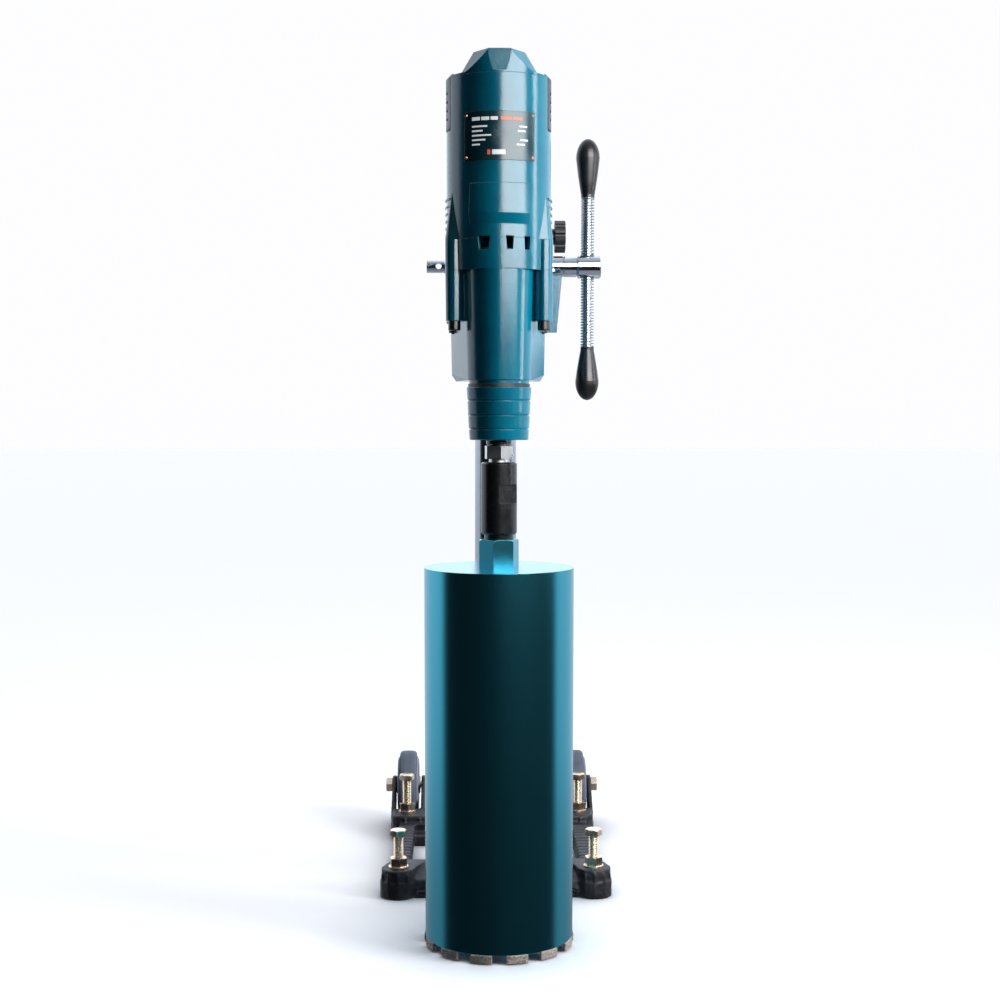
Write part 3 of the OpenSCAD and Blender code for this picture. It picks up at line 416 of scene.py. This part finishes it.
FINISH = {
    "teal_paint": TEAL, "bit_paint": BIT, "black_casting": CASTING, "chrome": CHROME, "steel": STEEL,
    "laminations": LAMINATIONS, "aluminium": ALUMINIUM, "bearing_steel": BEARING, "zinc_yellow": ZINC,
    "black_oxide": OXIDE, "bronze": BRONZE, "brass": BRASS, "copper": COPPER, "black_plastic": BLACK,
    "grip_plastic": GRIP, "rubber_grey": TYRE, "wheel_plastic": WHEEL, "red_plastic": RED,
    "segment": GRIT, "nameplate": PLATE,
}
SLOT = {entry["node"]: entry["material_slot"] for entry in frame["record"]["subparts"]}


def finish_node(node, material):
    obj = NODES[node]
    obj.data.materials.clear()
    obj.data.materials.append(material)


for node_name, slot_name in SLOT.items():
    finish_node(node_name, FINISH[slot_name])
# The column and the handle rod take the darker copy of the chrome, which has painted shade.
finish_node("column_tube", SHADED_CHROME)
finish_node("handle_rod", SHADED_CHROME)


# ---------------------------------------------------------------- pieces

def make_piece(name, vertices, faces, material, body=None, smooth=True):
    """New mesh piece with its finish; it rides on `body` where one is given."""
    mesh = bpy.data.meshes.new(name)
    mesh.from_pydata([tuple(v) for v in vertices], [], faces)
    mesh.update()
    if smooth:
        mesh.shade_smooth()
    piece = bpy.data.objects.new(name, mesh)
    bpy.context.collection.objects.link(piece)
    mesh.materials.append(material)
    if body:
        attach(piece, body)
    return piece


def tube_faces(rows, columns, start=0, cap=True):
    """Quads between rings of points, with the two ends closed."""
    faces = []
    for row in range(rows - 1):
        for column in range(columns):
            a = start + row * columns + column
            b = start + row * columns + (column + 1) % columns
            faces.append((a, b, b + columns, a + columns))
    if cap:
        faces.append(tuple(start + i for i in reversed(range(columns))))
        faces.append(tuple(start + (rows - 1) * columns + i for i in range(columns)))
    return faces


def coil(name, axis, low, high, radius, wire, pitch):
    """Closed helical wire spring with flattened end turns, standing on `axis`."""
    turns = (high - low - 2 * wire) / pitch + 1.5
    per_turn = 28
    around = 10
    steps = int(turns * per_turn)
    vertices = []
    for i in range(steps + 1):
        t = i / steps
        angle = 2 * math.pi * turns * t
        rise = min(max((t * turns - 0.75) / (turns - 1.5), 0), 1)
        height = low + wire + (high - low - 2 * wire) * rise
        out = Vector((math.cos(angle), math.sin(angle), 0))
        for k in range(around):
            b = 2 * math.pi * k / around
            point = out * (radius + wire * math.cos(b)) + Vector((0, 0, wire * math.sin(b)))
            vertices.append((axis.x + point.x, axis.y + point.y, height + point.z))
    return make_piece(name, vertices, tube_faces(steps + 1, around), SPRING)


ROD = middle("handle_rod")
for end in ("upper", "lower"):
    node = "handle_spring_" + end
    (_, _, low), (_, _, high) = BOX[node]
    spring = coil("coil_" + end, ROD, low, high, 7.25 * MM, 0.75 * MM, 3.24 * MM)
    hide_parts(node)
    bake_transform(spring)


def thread_radius(phase, root, crest):
    """Rounded sixty-degree thread form; phase runs 0 to 1 along one pitch."""
    wave = abs((phase % 1) * 2 - 1)
    return root + (crest - root) * min(max(wave * 1.25 - 0.12, 0), 1)


def bolt(node, body, turn):
    """Threaded bolt with a chamfered hexagon head, in place of a plain CAD bolt."""
    head_h, across, pitch = 7.5 * MM, 18 * MM, 1.75 * MM
    root, crest = 5.15 * MM, 6 * MM
    per_pitch = 9
    columns = 36
    (x0, y0, low), (x1, y1, top) = BOX[node]
    x, y = (x0 + x1) / 2, (y0 + y1) / 2
    under = top - head_h
    steps = int((under - low) / pitch * per_pitch)
    vertices = []
    for row in range(steps + 1):
        z = low + (under - low) * row / steps
        taper = min(1, 0.82 + 0.18 * (z - low) / (1.6 * MM))
        for column in range(columns):
            angle = 2 * math.pi * column / columns
            r = thread_radius(z / pitch - column / columns, root, crest) * taper
            vertices.append((x + r * math.cos(angle), y + r * math.sin(angle), z))
    faces = tube_faces(steps + 1, columns)
    start = len(vertices)
    rings = [
        (0, 0.97), (0.4 * MM, 1.0), (head_h - 1.5 * MM, 1.0), (head_h - 0.7 * MM, 0.955),
        (head_h - 0.1 * MM, 0.87), (head_h, 0.82)
    ]
    for height, scale in rings:
        for column in range(columns):
            angle = 2 * math.pi * column / columns + turn
            local = (2 * math.pi * column / columns + math.pi / 6) % (math.pi / 3) - math.pi / 6
            flat = across / 2 / math.cos(local)
            r = min(flat, across / 2 * (1.135 * scale if scale < 1 else 1.16))
            vertices.append((x + r * math.cos(angle), y + r * math.sin(angle), under + height))
    faces += tube_faces(len(rings), columns, start)
    piece = make_piece("threaded_" + node, vertices, faces, ZINC, body)
    piece.data.set_sharp_from_angle(angle=math.radians(24))
    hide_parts(node)


for corner, turn in (("front_left", 20), ("front_right", -6), ("rear_left", 14), ("rear_right", 40)):
    bolt("jack_bolt_" + corner, "jack_" + corner, math.radians(turn + 30))


def roughened(name, node, body, material, voxel, smooth, size, depth):
    """Copy of a CAD node, remeshed, rounded at its edges and given a cast or sintered skin."""
    piece = bpy.data.objects.new(name, NODES[node].data.copy())
    bpy.context.collection.objects.link(piece)
    remesh = piece.modifiers.new("remesh", "REMESH")
    remesh.mode = "VOXEL"
    remesh.voxel_size = voxel
    relax = piece.modifiers.new("relax", "SMOOTH")
    relax.iterations = smooth
    relax.factor = 0.5
    graph = bpy.context.evaluated_depsgraph_get()
    mesh = bpy.data.meshes.new_from_object(piece.evaluated_get(graph))
    piece.modifiers.clear()
    piece.data = mesh
    normals = [v.normal.copy() for v in mesh.vertices]
    for vertex, normal in zip(mesh.vertices, normals):
        value = noise.fractal(vertex.co / size, 0.9, 2.1, 3)
        vertex.co += normal * depth * min(value, 0.6)
    mesh.shade_smooth()
    mesh.materials.clear()
    mesh.materials.append(material)
    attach(piece, body)
    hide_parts(node)
    return piece


roughened(
    "gritty_segments", "bit_segments", "spindle_line", GRIT, 0.6 * MM, 2, 1.6 * MM, 0.35 * MM)
roughened("cast_base", "base_casting", "stand", CASTING, 1.5 * MM, 3, 5 * MM, 0.35 * MM)
roughened("cast_foot", "column_foot", "stand", CASTING, 1.3 * MM, 3, 5 * MM, 0.3 * MM)


PLATE_LOW = BOX["nameplate"][0].z
PLATE_RADIUS = 56.7 * MM
BAR_PROUD = 0.12 * MM


def plate_bar(vertices, faces, left, right, low, high):
    """Adds one raised bar on the nameplate; left and right are arc lengths from its middle."""
    steps = 8
    start = len(vertices)
    for i in range(steps + 1):
        angle = (left + (right - left) * i / steps) / PLATE_RADIUS
        for radius in (PLATE_RADIUS - 0.05 * MM, PLATE_RADIUS + BAR_PROUD):
            for z in (low, high):
                x = MOTOR.x + radius * math.sin(angle)
                y = MOTOR.y - radius * math.cos(angle)
                vertices.append((x, y, PLATE_LOW + z))
    for i in range(steps):
        a = start + 4 * i
        b = a + 4
        faces.extend([(a + 2, b + 2, b + 3, a + 3), (a, a + 1, b + 1, b)])
        faces.extend([(a + 1, a + 3, b + 3, b + 1), (a, b, b + 2, a + 2)])
    end = start + 4 * steps
    faces.extend([(start, start + 2, start + 3, start + 1), (end, end + 1, end + 3, end + 2)])


def plate_print(name, material, bars):
    vertices, faces = [], []
    for left, right, low, high in bars:
        plate_bar(vertices, faces, left * MM, right * MM, low * MM, high * MM)
    make_piece(name, vertices, faces, material, "carriage", smooth=False)


PRINT_WHITE = plastic("plate_white", (0.92, 0.95, 0.96), 0.4, 0.0008, 0.02)
PRINT_RED = plastic("plate_red", (0.90, 0.12, 0.05), 0.4, 0.0008, 0.02)
# The print glows a little: painted light that makes it brighter than the plate.
for print_material, painted_glow in ((PRINT_WHITE, (0.9, 0.95, 1.0, 1)), (PRINT_RED, (0.9, 0.15, 0.06, 1))):
    ink = print_material.node_tree.nodes["Principled BSDF"]
    ink.inputs["Emission Color"].default_value = painted_glow
    ink.inputs["Emission Strength"].default_value = 0.4
# Each row is its height on the plate, the width of its left bar and the middle of its right one.
ROWS = [(33.6, 17, 26), (29.0, 12, 24), (24.4, 21, 0), (19.8, 15, 27), (15.2, 9, 23)]
TITLE = (40.5, 44.0)
white_bars = [(-30, -21, *TITLE), (-19.5, -11, *TITLE), (-9.5, -2, *TITLE), (-8, 6, 5.5, 10.5)]
for level, width, value in ROWS:
    white_bars.append((-30, -30 + width, level, level + 1.7))
    if value:
        white_bars.append((value - 5, value + 4, level, level + 1.7))
plate_print("plate_print_white", PRINT_WHITE, white_bars)
plate_print("plate_print_red", PRINT_RED, [(1, 12, *TITLE), (14, 24, *TITLE), (-13, -10, 5.5, 10.5)])


bpy.context.scene.view_settings.view_transform = "Standard"
